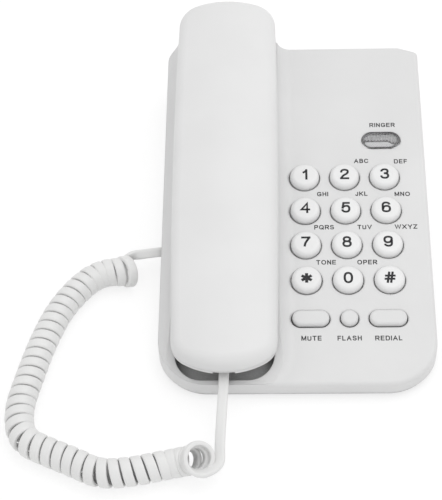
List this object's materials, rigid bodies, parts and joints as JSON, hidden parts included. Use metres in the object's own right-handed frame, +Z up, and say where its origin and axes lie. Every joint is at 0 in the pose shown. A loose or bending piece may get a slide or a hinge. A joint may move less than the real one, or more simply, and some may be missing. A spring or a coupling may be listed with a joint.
{
  "type": "corded desk telephone",
  "caption": "White corded desk telephone with a sloping keypad base, a cradled handset that lifts off, press-in keys, a ringer lens, a sprung hook plunger and a curly handset cord.",
  "frame": {"origin": "On the table under the middle of the box around base and handset, the cord and its plugs left out.", "axes": "+X to the right of someone dialling, +Y towards the back of the base, +Z up."},
  "size_m": [0.2067, 0.2717, 0.0606],
  "materials": {
    "white_shell": "fine satin moulded white",
    "white_key": "smooth moulded white",
    "white_cord": "soft satin cord jacket",
    "clear_lens": "polished clear plastic",
    "clear_plug": "polished clear plastic",
    "grey_rubber": "matt",
    "pale_rubber": "matt silicone",
    "green_board": "lacquered board",
    "red_lamp": "tinted, polished",
    "black_plastic": "moulded black",
    "steel": "zinc plated",
    "grey_iron": "bare",
    "alu_can": "drawn can"
  },
  "bodies": {
    "base": {"base_upper_shell": "white_shell", "base_lower_shell": "white_shell", "base_screws": "steel", "rubber_feet": "grey_rubber", "main_circuit_board": "green_board", "board_screws": "steel", "keypad_mat": "pale_rubber", "ringer_lens": "clear_lens", "ringer_led": "red_lamp", "ringer_buzzer": "black_plastic", "hook_spring": "steel", "hook_switch": "black_plastic", "ballast_plate": "grey_iron", "base_cord_jack": "black_plastic", "line_jack": "black_plastic", "base_plug": "clear_plug", "coiled_cord": "white_cord", "cord_base_tail": "white_cord", "cord_handset_tail": "white_cord"},
    "handset": {"handset_back_shell": "white_shell", "handset_front_shell": "white_shell", "handset_screws": "steel", "receiver_capsule": "black_plastic", "microphone": "alu_can", "microphone_holder": "grey_rubber", "handset_weight": "grey_iron", "handset_jack": "black_plastic", "handset_plug": "clear_plug"},
    "hook_plunger": {"hook_plunger": "white_key"},
    "key_1": {"key_1": "white_key"},
    "key_2": {"key_2": "white_key"},
    "key_3": {"key_3": "white_key"},
    "key_4": {"key_4": "white_key"},
    "key_5": {"key_5": "white_key"},
    "key_6": {"key_6": "white_key"},
    "key_7": {"key_7": "white_key"},
    "key_8": {"key_8": "white_key"},
    "key_9": {"key_9": "white_key"},
    "key_star": {"key_star": "white_key"},
    "key_0": {"key_0": "white_key"},
    "key_hash": {"key_hash": "white_key"},
    "mute_button": {"mute_button": "white_key"},
    "flash_button": {"flash_button": "white_key"},
    "redial_button": {"redial_button": "white_key"}
  },
  "joints": [
    {"name": "handset_lift", "type": "slide", "parent": "base", "child": "handset", "axis": [0, -0.1045, 0.9945], "range_m": [0, 0.1], "deforming": ["coiled_cord", "cord_base_tail", "cord_handset_tail", "hook_spring"]},
    {"name": "hook_travel", "type": "slide", "parent": "base", "child": "hook_plunger", "axis": [0, -0.1045, 0.9945], "range_m": [0, 0.005], "deforming": ["hook_spring"]},
    {"name": "key_1_press", "type": "slide", "parent": "base", "child": "key_1", "axis": [0, 0.1045, -0.9945], "range_m": [0, 0.0012], "stiffness_N_per_m": 400, "springref_m": -0.0005, "deforming": ["keypad_mat"]},
    {"name": "key_2_press", "type": "slide", "parent": "base", "child": "key_2", "axis": [0, 0.1045, -0.9945], "range_m": [0, 0.0012], "stiffness_N_per_m": 400, "springref_m": -0.0005, "deforming": ["keypad_mat"]},
    {"name": "key_3_press", "type": "slide", "parent": "base", "child": "key_3", "axis": [0, 0.1045, -0.9945], "range_m": [0, 0.0012], "stiffness_N_per_m": 400, "springref_m": -0.0005, "deforming": ["keypad_mat"]},
    {"name": "key_4_press", "type": "slide", "parent": "base", "child": "key_4", "axis": [0, 0.1045, -0.9945], "range_m": [0, 0.0012], "stiffness_N_per_m": 400, "springref_m": -0.0005, "deforming": ["keypad_mat"]},
    {"name": "key_5_press", "type": "slide", "parent": "base", "child": "key_5", "axis": [0, 0.1045, -0.9945], "range_m": [0, 0.0012], "stiffness_N_per_m": 400, "springref_m": -0.0005, "deforming": ["keypad_mat"]},
    {"name": "key_6_press", "type": "slide", "parent": "base", "child": "key_6", "axis": [0, 0.1045, -0.9945], "range_m": [0, 0.0012], "stiffness_N_per_m": 400, "springref_m": -0.0005, "deforming": ["keypad_mat"]},
    {"name": "key_7_press", "type": "slide", "parent": "base", "child": "key_7", "axis": [0, 0.1045, -0.9945], "range_m": [0, 0.0012], "stiffness_N_per_m": 400, "springref_m": -0.0005, "deforming": ["keypad_mat"]},
    {"name": "key_8_press", "type": "slide", "parent": "base", "child": "key_8", "axis": [0, 0.1045, -0.9945], "range_m": [0, 0.0012], "stiffness_N_per_m": 400, "springref_m": -0.0005, "deforming": ["keypad_mat"]},
    {"name": "key_9_press", "type": "slide", "parent": "base", "child": "key_9", "axis": [0, 0.1045, -0.9945], "range_m": [0, 0.0012], "stiffness_N_per_m": 400, "springref_m": -0.0005, "deforming": ["keypad_mat"]},
    {"name": "key_star_press", "type": "slide", "parent": "base", "child": "key_star", "axis": [0, 0.1045, -0.9945], "range_m": [0, 0.0012], "stiffness_N_per_m": 400, "springref_m": -0.0005, "deforming": ["keypad_mat"]},
    {"name": "key_0_press", "type": "slide", "parent": "base", "child": "key_0", "axis": [0, 0.1045, -0.9945], "range_m": [0, 0.0012], "stiffness_N_per_m": 400, "springref_m": -0.0005, "deforming": ["keypad_mat"]},
    {"name": "key_hash_press", "type": "slide", "parent": "base", "child": "key_hash", "axis": [0, 0.1045, -0.9945], "range_m": [0, 0.0012], "stiffness_N_per_m": 400, "springref_m": -0.0005, "deforming": ["keypad_mat"]},
    {"name": "mute_button_press", "type": "slide", "parent": "base", "child": "mute_button", "axis": [0, 0.1045, -0.9945], "range_m": [0, 0.0012], "stiffness_N_per_m": 400, "springref_m": -0.0005, "deforming": ["keypad_mat"]},
    {"name": "flash_button_press", "type": "slide", "parent": "base", "child": "flash_button", "axis": [0, 0.1045, -0.9945], "range_m": [0, 0.0012], "stiffness_N_per_m": 400, "springref_m": -0.0005, "deforming": ["keypad_mat"]},
    {"name": "redial_button_press", "type": "slide", "parent": "base", "child": "redial_button", "axis": [0, 0.1045, -0.9945], "range_m": [0, 0.0012], "stiffness_N_per_m": 400, "springref_m": -0.0005, "deforming": ["keypad_mat"]}
  ],
  "couplings": [
    {"joint": "hook_travel", "follows": "handset_lift", "ratio": 0.05}
  ]
}
